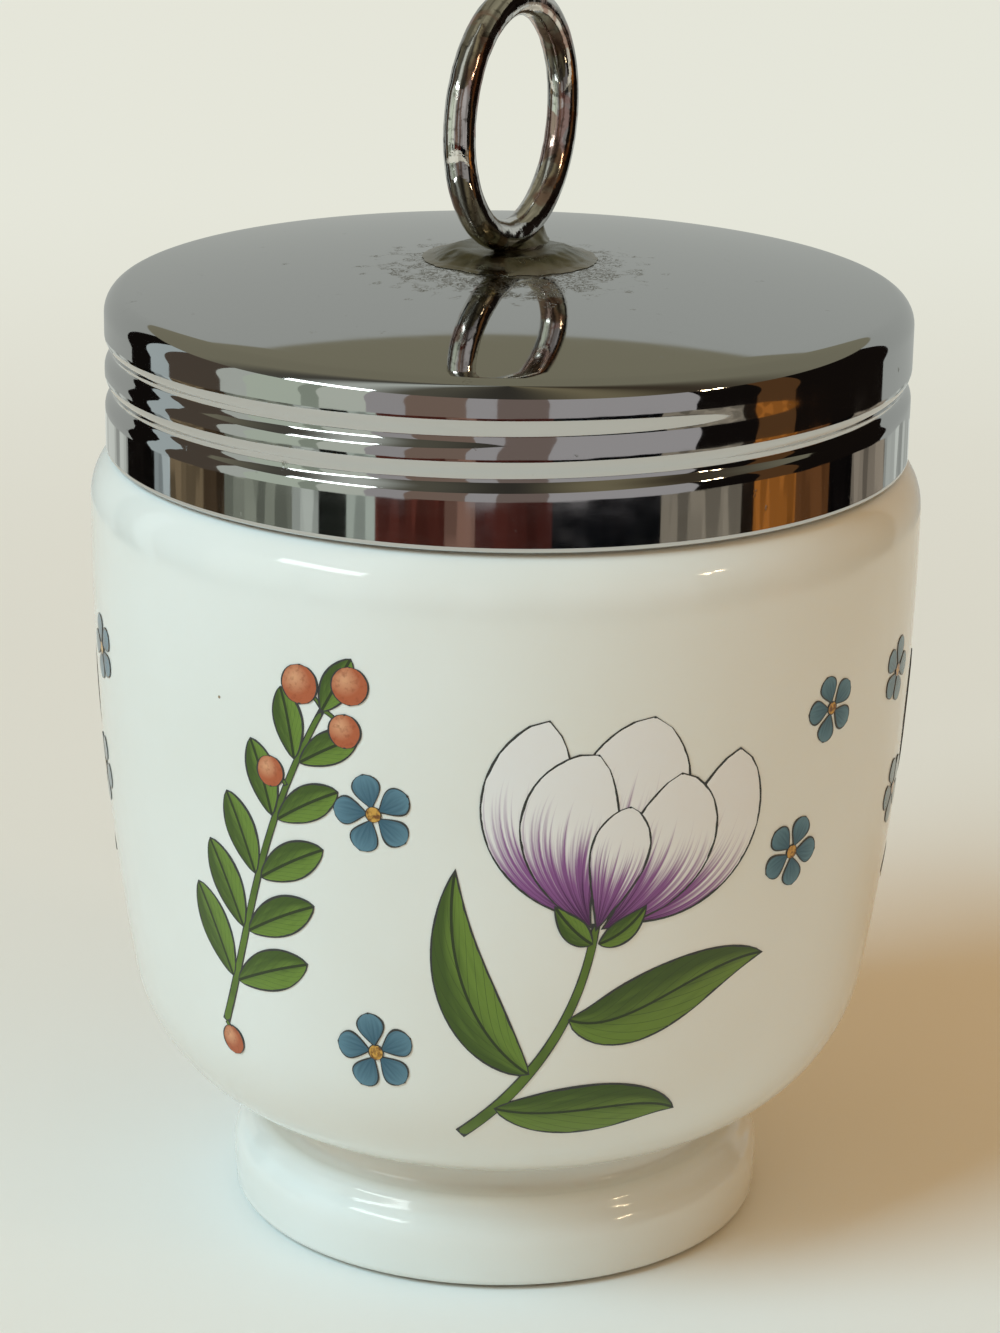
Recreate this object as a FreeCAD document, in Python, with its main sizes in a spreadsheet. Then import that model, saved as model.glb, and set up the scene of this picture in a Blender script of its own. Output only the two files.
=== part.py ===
# Porcelain egg coddler with a screw lid: a footed cup with a moulded thread on its neck, and a pressed
# metal lid with a rolled thread and a lifting ring. Millimetres. The origin is the centre of the face that
# the foot rests on, and +Z runs up the cup's axis. The lifting ring lies in the YZ plane.
import FreeCAD, Part
import math
import os

import Sketcher

V = FreeCAD.Vector
FULL_TURN = 360

doc = FreeCAD.newDocument("egg_coddler")

# Driving sizes
SIZES = [
    ("cup_height", 72.4, "foot to the top of the neck's rim"),
    ("body_radius", 31.5, "the body where it is widest"),
    ("neck_rise", 15.2, "neck's rim above the place where the shoulder starts to turn in"),
    ("body_land", 2.2, "height of the upright band of wall between belly and shoulder"),
    ("belly_curve", 215.0, "radius of the belly's long curve, seen from the side"),
    ("bowl_top", 20.4, "height at which the belly runs into the bowl-shaped bottom"),
    ("bowl_curve", 13.7, "radius of the bowl-shaped bottom, seen from the side"),
    ("shoulder_curve", 4.5, "radius of the shoulder, seen from the side"),
    ("porcelain_wall", 3.2, "thickness of the body's wall"),
    ("floor_thick", 3.4, "thickness of the cup's floor"),
    ("inner_shoulder", 5.0, "radius of the shoulder inside the cup"),
    ("neck_step", 2.45, "how far the neck stands in from the body"),
    ("neck_wall", 3.05, "thickness of the neck"),
    ("rim_round", 0.9, "rounding of the neck's rim"),
    ("foot_step", 10.6, "how far the foot stands in from the body"),
    ("foot_curve", 7.5, "radius of the foot's side, seen from the side"),
    ("foot_edge", 1.5, "rounding between the foot's side and its resting face"),
    ("waist_depth", 1.6, "how far the waist stands in from the foot"),
    ("waist_fillet", 0.8, "fillet in the waist"),
    ("rest_width", 1.9, "width of the foot's resting face"),
    ("recess_inset", 0.9, "how much narrower the recess under the cup is at its top"),
    ("recess_fillet", 1.5, "fillet round the top of the recess"),
    ("inner_fillet", 2.0, "rounding of the edge between the neck and the inner shoulder"),
    ("root_fillet", 0.4, "fillet between the shoulder and the neck"),
    ("sheet", 0.4, "thickness of the lid's sheet"),
    ("ridge_gap", 0.35, "gap between the neck and the crest of the lid's thread"),
    ("lid_corner", 1.8, "rounding of the lid's shoulder edge, outside"),
    ("dome_curve", 180.0, "radius of the lid's dome"),
    ("seat_gap", 0.3, "gap between the neck's rim and the closed lid"),
    ("rim_gap", 0.35, "gap between the cup's shoulder and the closed lid's rim"),
    ("pad_seat", 6.9, "radius of the flat in the middle of the dome"),
    ("pitch", 3.0, "rise of both threads in one turn"),
    ("thread_low", 2.98, "height of the lid thread's lower end above the lid's rim"),
    ("lid_start", 36.0, "angle of the lid thread's lower end from +X, degrees"),
    ("lid_turns", 1.7, "turns of the lid's thread"),
    ("lid_ridge", 0.5, "depth of the lid's thread"),
    ("lid_round", 1.25, "radius of the lid thread's section, inside the lid"),
    ("cup_start", 60.0, "angle of the cup thread's lower end from +X, degrees"),
    ("cup_turns", 2.0, "turns of the cup's thread"),
    ("thread_gap", 0.25, "gap between the cup thread's crest and the lid's skirt"),
    ("cup_round", 0.83, "radius of the cup thread's section"),
    ("thread_bed", 0.15, "how deep both threads' sections reach into their walls"),
    ("pad_radius", 6.6, "outside of the pad under the ring"),
    ("pad_edge", 0.35, "thickness of the pad at its edge"),
    ("pad_thick", 0.9, "thickness of the pad in its middle"),
    ("pad_flat", 4.1, "radius of the flat top of the pad"),
    ("pad_curve", 14.0, "radius of the pad's sloping top, seen from the side"),
    ("rivet_radius", 1.25, "shank of the rivet"),
    ("rivet_gap", 0.05, "running gap round the rivet"),
    ("rivet_sink", 0.6, "depth of the rivet's sunk head"),
    ("rivet_flare", 0.75, "how much wider the sunk head is than the shank"),
    ("rivet_head", 2.4, "radius of the head inside the lid"),
    ("rivet_head_thick", 0.7, "thickness of the head inside the lid"),
    ("ring_radius", 8.7, "middle of the wire to the middle of the lifting ring"),
    ("wire_radius", 1.2, "wire of the lifting ring"),
    ("braze_film", 0.15, "braze between the pad and the lowest point of the wire"),
    ("braze_height", 1.5, "height of the fillet of braze above the pad"),
    ("braze_half_width", 2.2, "half the width of the fillet, across the ring"),
    ("braze_half_length", 3.9, "half the length of the fillet, along the ring"),
    ("braze_gap", 0.02, "gap between the wire and the fillet of braze"),
]

# Sizes that follow others
TIED = [
    ("body_top", "=cup_height - neck_rise", "height at which the shoulder starts to turn in"),
    ("belly_top", "=body_top - body_land", "height at which the belly's curve ends in an upright wall"),
    ("foot_radius", "=body_radius - foot_step", "the foot where it is widest"),
    ("waist_radius", "=foot_radius - waist_depth", "waist between the foot and the bowl"),
    ("neck_radius", "=body_radius - neck_step", "outside of the neck, under the thread"),
    ("skirt_radius", "=neck_radius + ridge_gap + lid_ridge + sheet", "outside of the lid's skirt"),
]


class Measure:
    """A size: its value as the model is built, and the sheet expression that ties it to the sizes."""

    def __init__(self, value, text):
        self.value = value
        self.text = text

    def combined(self, other, sign, result):
        """The measure that sign makes of this one and another measure or plain number."""
        return Measure(result(self.value, value_of(other)), f"({self.text} {sign} {text_of(other)})")

    def __add__(self, other):
        return self.combined(other, "+", lambda a, b: a + b)

    def __sub__(self, other):
        return self.combined(other, "-", lambda a, b: a - b)

    def __mul__(self, other):
        return self.combined(other, "*", lambda a, b: a * b)

    def __truediv__(self, other):
        return self.combined(other, "/", lambda a, b: a / b)


def value_of(size):
    return size.value if isinstance(size, Measure) else size


def text_of(size):
    return size.text if isinstance(size, Measure) else str(size)


def root(size):
    """The square root of a measure."""
    return Measure(math.sqrt(size.value), f"sqrt({size.text})")


def leg(slant, side):
    """The third side of a right-angled triangle with this slant and this side."""
    return root(slant * slant - side * side)


def make_sheet():
    """Write the sizes into the document's sheet and return them as measures, by name."""
    sheet = doc.addObject("Spreadsheet::Sheet", "sizes")
    for row, (name, value, meaning) in enumerate(SIZES + TIED, start=1):
        sheet.set(f"A{row}", meaning)
        sheet.set(f"B{row}", str(value))
        sheet.setAlias(f"B{row}", name)
    doc.recompute()
    return {name: Measure(float(sheet.get(name)), f"sizes.{name}") for name, _, _ in SIZES + TIED}


def origin_feature(body, role):
    """The plane or axis of a body's own origin."""
    return next(feature for feature in body.Origin.OriginFeatures if feature.Role == role)


def new_body(name):
    body = doc.addObject("PartDesign::Body", name)
    body.Label = name
    return body


def section_sketch(body, name, height=0.0, turn=0.0):
    """A sketch in the half plane at angle turn, with its origin on the axis at this height."""
    sketch = body.newObject("Sketcher::SketchObject", name)
    sketch.AttachmentSupport = [(origin_feature(body, "XZ_Plane"), "")]
    sketch.MapMode = "FlatFace"
    sketch.AttachmentOffset = FreeCAD.Placement(V(0, value_of(height), 0),
                                                FreeCAD.Rotation(V(0, 1, 0), value_of(turn)))
    if isinstance(height, Measure):
        sketch.setExpression("AttachmentOffset.Base.y", height.text)
    if isinstance(turn, Measure):
        sketch.setExpression("AttachmentOffset.Rotation.Angle", turn.text)
    return sketch


def tie(sketch, kind, places, size):
    """Add a dimension to a sketch and bind it to the sheet."""
    number = sketch.addConstraint(Sketcher.Constraint(kind, *places, value_of(size)))
    if isinstance(size, Measure):
        sketch.setExpression(f"Constraints[{number}]", size.text)


def arc_between(start, end, radius, side):
    """The short arc from start to end. Its centre is left of the way when side is 1, right when -1."""
    chord = end - start
    half = chord.Length / 2
    across = V(-chord.y, chord.x, 0).normalize()
    centre = (start + end) / 2 + across * side * math.sqrt(max(radius ** 2 - half ** 2, 0.0))
    first, last = (start, end) if side > 0 else (end, start)
    from_angle = math.atan2(first.y - centre.y, first.x - centre.x)
    to_angle = math.atan2(last.y - centre.y, last.x - centre.x)
    return Part.ArcOfCircle(Part.Circle(centre, V(0, 0, 1), radius), from_angle, to_angle)


def outline(sketch, corners):
    """Draw a closed outline. A corner is its radius, its height and how the outline leaves it:
    None for a straight line, or (curve radius, side) for an arc. Side 1 turns left, -1 turns right."""
    points = [V(value_of(radius), value_of(height), 0) for radius, height, _ in corners]
    ends = []
    for index, (_, _, curve) in enumerate(corners):
        start = points[index]
        end = points[(index + 1) % len(points)]
        if curve is None:
            edge = sketch.addGeometry(Part.LineSegment(start, end), False)
            ends.append((edge, 1, 2))
        else:
            radius, side = curve
            edge = sketch.addGeometry(arc_between(start, end, value_of(radius), side), False)
            ends.append((edge, 1, 2) if side > 0 else (edge, 2, 1))
    for index, (edge, _, far_end) in enumerate(ends):
        next_edge, next_start, _ = ends[(index + 1) % len(ends)]
        sketch.addConstraint(Sketcher.Constraint("Coincident", edge, far_end, next_edge, next_start))
    for (radius, height, curve), (edge, start_end, _) in zip(corners, ends):
        tie(sketch, "DistanceX", (-1, 1, edge, start_end), radius)
        tie(sketch, "DistanceY", (-1, 1, edge, start_end), height)
        if curve is not None:
            tie(sketch, "Radius", (edge,), curve[0])


def turned(body, name, corners):
    """A solid turned round the axis from its section."""
    sketch = section_sketch(body, name + "_section")
    outline(sketch, corners)
    feature = body.newObject("PartDesign::Revolution", name)
    feature.Profile = sketch
    feature.ReferenceAxis = (origin_feature(body, "Z_Axis"), [""])
    feature.Angle = FULL_TURN
    sketch.Visibility = False
    doc.recompute()
    return feature


def circle_edges(shape, radius, height):
    """The names of a shape's round edges with this radius at this height."""
    names = []
    for index, edge in enumerate(shape.Edges, start=1):
        if isinstance(edge.Curve, Part.Circle):
            off = max(abs(edge.Curve.Radius - value_of(radius)), abs(edge.Curve.Center.z - value_of(height)))
            if off < 0.01:
                names.append(f"Edge{index}")
    if not names:
        raise RuntimeError(f"no round edge of radius {value_of(radius)} at height {value_of(height)}")
    return names


def fillet(body, name, radius, height, size):
    """Round the edge of this radius at this height."""
    base = body.Tip
    feature = body.newObject("PartDesign::Fillet", name)
    feature.Base = (base, circle_edges(base.Shape, radius, height))
    feature.Radius = size.value
    feature.setExpression("Radius", size.text)
    doc.recompute()


def thread(body, name, base, half, curve, side, low, start, turns, rise, cut=False):
    """A round thread with rounded ends. Its section is a segment of a circle of this curve: it stands
    on a chord of this half height at radius base, and bulges outwards when side is 1, inwards when -1."""
    kind = "Subtractive" if cut else "Additive"
    section = section_sketch(body, name + "_section", low, start)
    outline(section, [(base, half * -1, (curve, side)), (base, half, None)])
    winding = body.newObject(f"PartDesign::{kind}Helix", name)
    winding.Profile = section
    winding.ReferenceAxis = (origin_feature(body, "Z_Axis"), [""])
    winding.Mode = "pitch-turns-angle"
    winding.setExpression("Pitch", rise.text)
    winding.setExpression("Turns", turns.text)
    section.Visibility = False
    doc.recompute()
    crest = base + (curve - leg(curve, half)) * side
    ends = [("lower", start, low), ("upper", start + turns * FULL_TURN, low + turns * rise)]
    for end, angle, height in ends:
        half_section = section_sketch(body, f"{name}_{end}_end_section", height, angle)
        outline(half_section, [(base, 0.0, None), (crest, 0.0, (curve, side)), (base, half, None)])
        cap = body.newObject("PartDesign::Groove" if cut else "PartDesign::Revolution", f"{name}_{end}_end")
        cap.Profile = half_section
        cap.ReferenceAxis = (half_section, ["H_Axis"])
        cap.Angle = FULL_TURN / 2
        cap.Reversed = end == "upper"
        half_section.Visibility = False
        doc.recompute()


size = make_sheet()

# Places that several pieces share
belly_centre = size["body_radius"] - size["belly_curve"]
bowl_lean = (size["belly_top"] - size["bowl_top"]) / size["belly_curve"]
bowl_reach = root(bowl_lean * bowl_lean * -1 + 1)
bowl_top_radius = belly_centre + size["belly_curve"] * bowl_reach
bowl_centre = bowl_top_radius - size["bowl_curve"] * bowl_reach
bowl_height = size["bowl_top"] + size["bowl_curve"] * bowl_lean
shoulder_centre = size["body_radius"] - size["shoulder_curve"]
skirt_inside = size["skirt_radius"] - size["sheet"]
lid_rim = size["body_top"] + leg(size["shoulder_curve"], skirt_inside - shoulder_centre) + size["rim_gap"]
rim_outside = size["neck_radius"] - size["rim_round"]
dome_centre = size["cup_height"] + size["seat_gap"] - leg(size["dome_curve"] - size["sheet"], rim_outside)
seat_height = dome_centre + leg(size["dome_curve"], size["pad_seat"])
pad_top = seat_height + size["pad_thick"]
rivet_hole = size["rivet_radius"] + size["rivet_gap"]
thread_height = lid_rim + size["thread_low"]
ring_height = pad_top + size["braze_film"] + size["wire_radius"] + size["ring_radius"]


def make_cup():
    """The porcelain cup: foot ring, bowl-shaped bottom, belly, shoulder and neck with its thread."""
    body = new_body("cup")
    waist = bowl_height - leg(size["bowl_curve"], size["waist_radius"] - bowl_centre)
    foot_centre = size["foot_radius"] - size["foot_curve"]
    foot_middle = waist - leg(size["foot_curve"], size["waist_radius"] - foot_centre)
    edge_reach = size["foot_curve"] - size["foot_edge"]
    edge_drop = foot_middle - size["foot_edge"]
    rest_outside = foot_centre + leg(edge_reach, edge_drop)
    edge_top_radius = foot_centre + (rest_outside - foot_centre) * size["foot_curve"] / edge_reach
    edge_top = foot_middle - edge_drop * size["foot_curve"] / edge_reach
    rest_inside = rest_outside - size["rest_width"]
    neck_root = size["body_top"] + leg(size["shoulder_curve"], size["neck_radius"] - shoulder_centre)
    neck_inside = size["neck_radius"] - size["neck_wall"]
    body_inside = size["body_radius"] - size["porcelain_wall"]
    inner_centre = body_inside - size["inner_shoulder"]
    inner_corner = size["body_top"] + leg(size["inner_shoulder"], neck_inside - inner_centre)
    inner_bowl = size["bowl_curve"] - size["porcelain_wall"]
    floor = bowl_height - inner_bowl
    recess_top = floor - size["floor_thick"]
    recess_radius = rest_inside - size["recess_inset"]
    turned(body, "cup_body", [
        (0.0, recess_top, None),
        (recess_radius, recess_top, None),
        (rest_inside, 0.0, None),
        (rest_outside, 0.0, (size["foot_edge"], 1)),
        (edge_top_radius, edge_top, (size["foot_curve"], 1)),
        (size["waist_radius"], waist, (size["bowl_curve"], 1)),
        (bowl_top_radius, size["bowl_top"], (size["belly_curve"], 1)),
        (size["body_radius"], size["belly_top"], None),
        (size["body_radius"], size["body_top"], (size["shoulder_curve"], 1)),
        (size["neck_radius"], neck_root, None),
        (size["neck_radius"], size["cup_height"] - size["rim_round"], (size["rim_round"], 1)),
        (rim_outside, size["cup_height"], None),
        (neck_inside + size["rim_round"], size["cup_height"], (size["rim_round"], 1)),
        (neck_inside, size["cup_height"] - size["rim_round"], None),
        (neck_inside, inner_corner, (size["inner_shoulder"], -1)),
        (body_inside, size["body_top"], None),
        (body_inside, size["belly_top"], (size["belly_curve"] - size["porcelain_wall"], -1)),
        (bowl_centre + inner_bowl * bowl_reach, bowl_height - inner_bowl * bowl_lean, (inner_bowl, -1)),
        (bowl_centre, floor, None),
        (0.0, floor, None),
    ])
    fillet(body, "waist_rounding", size["waist_radius"], waist, size["waist_fillet"])
    fillet(body, "recess_rounding", recess_radius, recess_top, size["recess_fillet"])
    fillet(body, "inner_rounding", neck_inside, inner_corner, size["inner_fillet"])
    fillet(body, "root_rounding", size["neck_radius"], neck_root, size["root_fillet"])
    crest = skirt_inside - size["thread_gap"]
    base = size["neck_radius"] - size["thread_bed"]
    half = leg(size["cup_round"], base - (crest - size["cup_round"]))
    turned_on = (size["cup_start"] - size["lid_start"]) / FULL_TURN
    low = thread_height - size["pitch"] / 2 + size["pitch"] * turned_on
    thread(body, "neck_thread", base, half, size["cup_round"], 1, low, size["cup_start"],
           size["cup_turns"], size["pitch"])
    return body


def make_lid_shell():
    """The lid's pressed sheet: dome with a flat in its middle, rounded edge, and skirt with its thread."""
    body = new_body("lid_shell")
    corner_centre = size["skirt_radius"] - size["lid_corner"]
    corner_reach = size["dome_curve"] - size["lid_corner"]
    corner_rise = leg(corner_reach, corner_centre)
    skirt_top = dome_centre + corner_rise
    inner_dome = size["dome_curve"] - size["sheet"]
    inner_corner = size["lid_corner"] - size["sheet"]
    turned(body, "lid_sheet", [
        (skirt_inside, lid_rim, None),
        (size["skirt_radius"], lid_rim, None),
        (size["skirt_radius"], skirt_top, (size["lid_corner"], 1)),
        (corner_centre * size["dome_curve"] / corner_reach,
         dome_centre + corner_rise * size["dome_curve"] / corner_reach, (size["dome_curve"], 1)),
        (size["pad_seat"], seat_height, None),
        (rivet_hole, seat_height, None),
        (rivet_hole, seat_height - size["sheet"], None),
        (size["pad_seat"], seat_height - size["sheet"], None),
        (size["pad_seat"], dome_centre + leg(inner_dome, size["pad_seat"]), (inner_dome, -1)),
        (corner_centre * inner_dome / corner_reach,
         dome_centre + corner_rise * inner_dome / corner_reach, (inner_corner, -1)),
        (skirt_inside, skirt_top, None),
    ])
    crest_centre = skirt_inside - size["lid_ridge"] + size["lid_round"]
    ridge_base = skirt_inside + size["thread_bed"]
    thread(body, "skirt_ridge", ridge_base, leg(size["lid_round"], crest_centre - ridge_base),
           size["lid_round"], -1, thread_height, size["lid_start"], size["lid_turns"], size["pitch"])
    groove_base = size["skirt_radius"] + size["thread_bed"]
    groove_round = size["lid_round"] - size["sheet"]
    thread(body, "skirt_groove", groove_base, leg(groove_round, crest_centre - groove_base),
           groove_round, -1, thread_height, size["lid_start"], size["lid_turns"], size["pitch"], cut=True)
    return body


def make_ring_pad():
    """The round pad that the ring stands on, with a sunk seat for the rivet."""
    body = new_body("ring_pad")
    turned(body, "pad_disc", [
        (rivet_hole, seat_height, None),
        (size["pad_radius"], seat_height, None),
        (size["pad_radius"], seat_height + size["pad_edge"], (size["pad_curve"], 1)),
        (size["pad_flat"], pad_top, None),
        (rivet_hole + size["rivet_flare"], pad_top, None),
        (rivet_hole, pad_top - size["rivet_sink"], None),
    ])
    return body


def make_lid_rivet():
    """The rivet through pad and sheet: flush under the ring, with a low round head inside the lid."""
    body = new_body("lid_rivet")
    under = seat_height - size["sheet"]
    thick = size["rivet_head_thick"]
    head_curve = (size["rivet_head"] * size["rivet_head"] + thick * thick) / (thick * 2)
    turned(body, "rivet", [
        (0.0, under - thick, (head_curve, 1)),
        (size["rivet_head"], under, None),
        (size["rivet_radius"], under, None),
        (size["rivet_radius"], pad_top - size["rivet_sink"], None),
        (size["rivet_radius"] + size["rivet_flare"], pad_top, None),
        (0.0, pad_top, None),
    ])
    return body


def ring_of_wire(name, wire):
    """An upright ring of wire in the YZ plane, above the pad."""
    ring = doc.addObject("Part::Torus", name)
    ring.Label = name
    ring.setExpression("Radius1", size["ring_radius"].text)
    ring.setExpression("Radius2", wire.text)
    upright = FreeCAD.Rotation(V(0, 1, 0), FULL_TURN / 4)
    ring.Placement = FreeCAD.Placement(V(0, 0, ring_height.value), upright)
    ring.setExpression("Placement.Base.z", ring_height.text)
    return ring


def make_ring_braze():
    """The fillet of braze round the ring's foot: half an ellipsoid, with room for the wire."""
    mound = doc.addObject("Part::Ellipsoid", "braze_mound")
    mound.Angle1 = 0
    mound.setExpression("Radius1", size["braze_height"].text)
    mound.setExpression("Radius2", size["braze_half_width"].text)
    mound.setExpression("Radius3", size["braze_half_length"].text)
    mound.Placement = FreeCAD.Placement(V(0, 0, pad_top.value), FreeCAD.Rotation())
    mound.setExpression("Placement.Base.z", pad_top.text)
    braze = doc.addObject("Part::Cut", "ring_braze")
    braze.Label = "ring_braze"
    braze.Base = mound
    braze.Tool = ring_of_wire("wire_room", size["wire_radius"] + size["braze_gap"])
    return braze


pieces = [
    make_cup(),
    make_lid_shell(),
    make_ring_pad(),
    make_lid_rivet(),
    ring_of_wire("lifting_ring", size["wire_radius"]),
    make_ring_braze(),
]
doc.recompute()

for thing in doc.Objects:
    if "Invalid" in thing.State or "Error" in thing.State:
        raise RuntimeError(f"{thing.Label} could not be built")
for piece in pieces:
    if piece.Shape.isNull() or not piece.Shape.isValid():
        raise RuntimeError(f"{piece.Label} has no sound shape")

os.makedirs("parts", exist_ok=True)
for piece in pieces:
    piece.Shape.exportStep(f"parts/{piece.Label}.step")
    print(piece.Label, len(piece.Shape.Solids), "solid,", round(piece.Shape.Volume, 1), "cubic mm")
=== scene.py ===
import math
from functools import partial
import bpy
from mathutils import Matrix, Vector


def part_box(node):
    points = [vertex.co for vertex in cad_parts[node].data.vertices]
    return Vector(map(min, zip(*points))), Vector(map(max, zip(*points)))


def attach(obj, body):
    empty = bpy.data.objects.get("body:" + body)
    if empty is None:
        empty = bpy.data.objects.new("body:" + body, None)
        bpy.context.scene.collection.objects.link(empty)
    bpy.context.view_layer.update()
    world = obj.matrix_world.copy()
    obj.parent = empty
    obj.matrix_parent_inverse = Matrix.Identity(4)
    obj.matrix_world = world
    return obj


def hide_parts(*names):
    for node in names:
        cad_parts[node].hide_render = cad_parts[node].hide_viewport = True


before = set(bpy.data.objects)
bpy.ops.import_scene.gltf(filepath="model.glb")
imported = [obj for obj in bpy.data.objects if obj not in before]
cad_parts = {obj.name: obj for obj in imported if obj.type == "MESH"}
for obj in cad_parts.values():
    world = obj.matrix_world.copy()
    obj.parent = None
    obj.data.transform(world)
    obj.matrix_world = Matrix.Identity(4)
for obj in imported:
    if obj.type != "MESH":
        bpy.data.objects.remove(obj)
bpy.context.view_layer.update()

from types import SimpleNamespace

import bpy
import numpy as np
from bpy.props import FloatProperty, FloatVectorProperty, PointerProperty
from mathutils import Matrix, Vector, noise

bl_info = {
    "name": "Egg coddler",
    "version": (1, 0, 0),
    "blender": (4, 5, 0),
    "location": "View3D > Sidebar > Egg coddler",
    "description": "Porcelain egg coddler with a pressed screw lid and a lifting ring",
    "category": "Object",
}

MM = 0.001
FULL_TURN = 2 * math.pi
CUP_LOW, CUP_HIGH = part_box("cup")
RING_LOW, RING_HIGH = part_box("lifting_ring")


def linear(hex_colour):
    """An sRGB hex colour as the linear colour that Blender keeps."""
    channels = [int(hex_colour[place:place + 2], 16) / 255 for place in (1, 3, 5)]
    return [c / 12.92 if c <= 0.04045 else ((c + 0.055) / 1.055) ** 2.4 for c in channels] + [1.0]


def length(name, default, description):
    """A size property, given in millimetres and kept in metres."""
    return FloatProperty(name=name, description=description, default=default * MM, min=0.0,
                         precision=5, unit="LENGTH")


def colour(name, default, description):
    """A colour property, given as an sRGB hex value."""
    return FloatVectorProperty(name=name, description=description, default=linear(default), size=4,
                               min=0.0, max=1.0, subtype="COLOR")


class CoddlerSizes(bpy.types.PropertyGroup):
    """Sizes of the egg coddler"""

    cup_height: length("Cup height", CUP_HIGH.z / MM, "Foot to the top of the neck's rim")
    body_radius: length("Body radius", CUP_HIGH.x / MM, "The cup's body where it is widest")
    wall: length("Porcelain wall", 3.2, "Thickness of the body's wall")
    neck_radius: length("Neck radius", 29.05, "Outside of the neck, under the thread")
    neck_wall: length("Neck wall", 3.05, "Thickness of the neck")
    foot_radius: length("Foot radius", 20.9, "The foot where it is widest")
    rest_width: length("Resting face", 1.9, "Width of the bare ring that the cup stands on")
    cup_ridge: length("Neck thread", 0.6, "Height of the moulded thread on the neck")
    pitch: length("Pitch", 3.0, "Rise of both threads in one turn")
    skirt_radius: length("Skirt radius", 30.3, "Outside of the lid's skirt")
    sheet: length("Lid sheet", 0.4, "Thickness of the lid's sheet")
    groove: length("Groove depth", 0.5, "Depth of the thread that is rolled into the skirt")
    groove_reach: length("Groove reach", 1.35, "Half the width of the rolled groove, outside")
    dome_curve: length("Dome curve", 180.0, "Radius of the lid's dome")
    pad_radius: length("Pad radius", 6.6, "Outside of the pad under the ring")
    ring_radius: length("Ring radius", 8.7, "Middle of the wire to the middle of the ring")
    wire_radius: length("Wire radius", RING_HIGH.x / MM, "Wire of the lifting ring")
    print_lift: length("Print lift", 0.03, "How far the fired colours stand above the glaze")


class CoddlerColours(bpy.types.PropertyGroup):
    """Colours of the egg coddler"""

    glaze: colour("Glaze", "#f3f1ea", "White porcelain under a clear glaze")
    bare: colour("Bare porcelain", "#ded8ca", "Unglazed resting face of the foot")
    plate: colour("Plate", "#c6c7c7", "Bright plate on lid and ring")
    tarnish: colour("Tarnish", "#5f5d4b", "Tarnished plate on pad and braze")
    petal: colour("Petal", "#f4f0ee", "Light part of the petals")
    throat: colour("Throat", "#8d5590", "Deep part of the petals")
    leaf: colour("Leaf", "#6f8a35", "Light part of the leaves")
    leaf_shade: colour("Leaf shade", "#43591f", "Dark part of the leaves")
    line: colour("Line", "#3a3a38", "Drawn outlines and veins")
    berry: colour("Berry", "#b9603c", "Berries")
    blossom: colour("Small flower", "#5f8494", "Small flowers")


def sizes_in_mm():
    """The size properties, in millimetres."""
    group = bpy.context.scene.coddler_sizes
    return SimpleNamespace(**{key: getattr(group, key) / MM for key in CoddlerSizes.__annotations__})


# Shapes

def run(section, *legs):
    """Continue a section by legs, each to its end in so many parts: straight, or round a centre."""
    for end, parts, *centre in legs:
        start, end = Vector(section[-1]), Vector(end)
        for part in range(1, parts + 1):
            share = part / parts
            if not centre:
                section.append(start.lerp(end, share))
                continue
            middle = Vector(centre[0])
            arm, last = start - middle, end - middle
            first_angle = math.atan2(arm.y, arm.x)
            turn = (math.atan2(last.y, last.x) - first_angle + math.pi) % FULL_TURN - math.pi
            reach = arm.length + (last.length - arm.length) * share
            angle = first_angle + turn * share
            section.append(middle + Vector((math.cos(angle), math.sin(angle))) * reach)


def rounded(section, corner, reach, parts=6):
    """Round the corner of a section that is nearest to a place, from reach before it to reach after."""
    corner = Vector(corner)
    middle = min(range(len(section)), key=lambda i: (Vector(section[i]) - corner).length)
    first, last = middle, middle
    while first > 0 and (Vector(section[first]) - corner).length < reach:
        first -= 1
    while last < len(section) - 1 and (Vector(section[last]) - corner).length < reach:
        last += 1
    start = corner + (Vector(section[first]) - corner).normalized() * reach
    end = corner + (Vector(section[last]) - corner).normalized() * reach
    curve = []
    for part in range(parts + 1):
        share = part / parts
        curve.append(start.lerp(corner, share).lerp(corner.lerp(end, share), share))
    return section[:first + 1] + curve + section[last:]


def deselect_all():
    if bpy.context.object and bpy.context.object.mode != "OBJECT":
        bpy.ops.object.mode_set(mode="OBJECT")
    bpy.ops.object.select_all(action="DESELECT")


def name_piece(name):
    piece = bpy.context.object
    piece.name = name
    piece.data.name = name
    return piece


def select_only(piece):
    deselect_all()
    piece.select_set(True)
    bpy.context.view_layer.objects.active = piece


def edit_all():
    """Into edit mode, with all of the piece selected."""
    bpy.ops.object.mode_set(mode="EDIT")
    bpy.ops.mesh.select_all(action="SELECT")


def lathe(name, section, steps):
    """A turned piece: a point is extruded along the section, beside the axis, and the line is spun."""
    deselect_all()
    bpy.ops.mesh.primitive_plane_add(size=MM, location=(0, 0, 0))
    piece = name_piece(name)
    edit_all()
    bpy.ops.mesh.merge(type="CENTER")
    bpy.ops.transform.translate(value=(section[0][0] * MM, 0, section[0][1] * MM))
    for (radius, height), (next_radius, next_height) in zip(section, section[1:]):
        step = ((next_radius - radius) * MM, 0, (next_height - height) * MM)
        bpy.ops.mesh.extrude_region_move(TRANSFORM_OT_translate={"value": step})
    bpy.ops.mesh.select_all(action="SELECT")
    bpy.ops.mesh.spin(steps=steps, angle=FULL_TURN, center=(0, 0, 0), axis=(0, 0, 1))
    bpy.ops.mesh.select_all(action="SELECT")
    bpy.ops.mesh.remove_doubles(threshold=1e-6)
    bpy.ops.mesh.normals_make_consistent(inside=False)
    bpy.ops.object.mode_set(mode="OBJECT")
    return piece


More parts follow.
